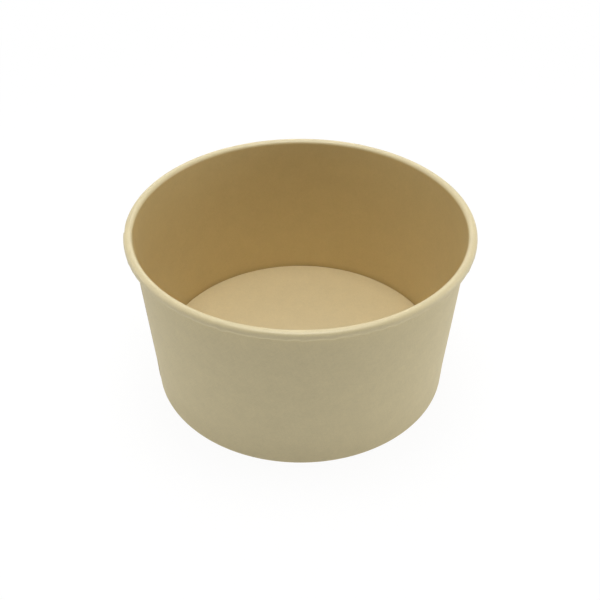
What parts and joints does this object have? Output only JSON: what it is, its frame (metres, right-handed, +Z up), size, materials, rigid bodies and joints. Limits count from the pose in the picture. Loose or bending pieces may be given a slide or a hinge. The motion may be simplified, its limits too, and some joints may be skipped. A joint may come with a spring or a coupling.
{
  "type": "paper ice cream tub",
  "caption": "Open round paper tub for ice cream: a tapered rolled sidewall with a lapped seam, an outward rim curl and a bottom hem folded round a recessed base.",
  "frame": {"origin": "centre of the foot ring, on the surface that the tub stands on", "axes": "+Z up along the tub's axis, out of its mouth; the side seam is near -X, 6 degrees towards -Y"},
  "size_m": [0.15, 0.15, 0.078],
  "materials": {
    "wall_paper": "matte unbleached paper with a thin clear coating on the inside",
    "base_paper": "matte unbleached paper with a thin clear coating on the top"
  },
  "bodies": {
    "root": {"sidewall": "wall_paper", "base_disc": "base_paper"}
  },
  "joints": []
}
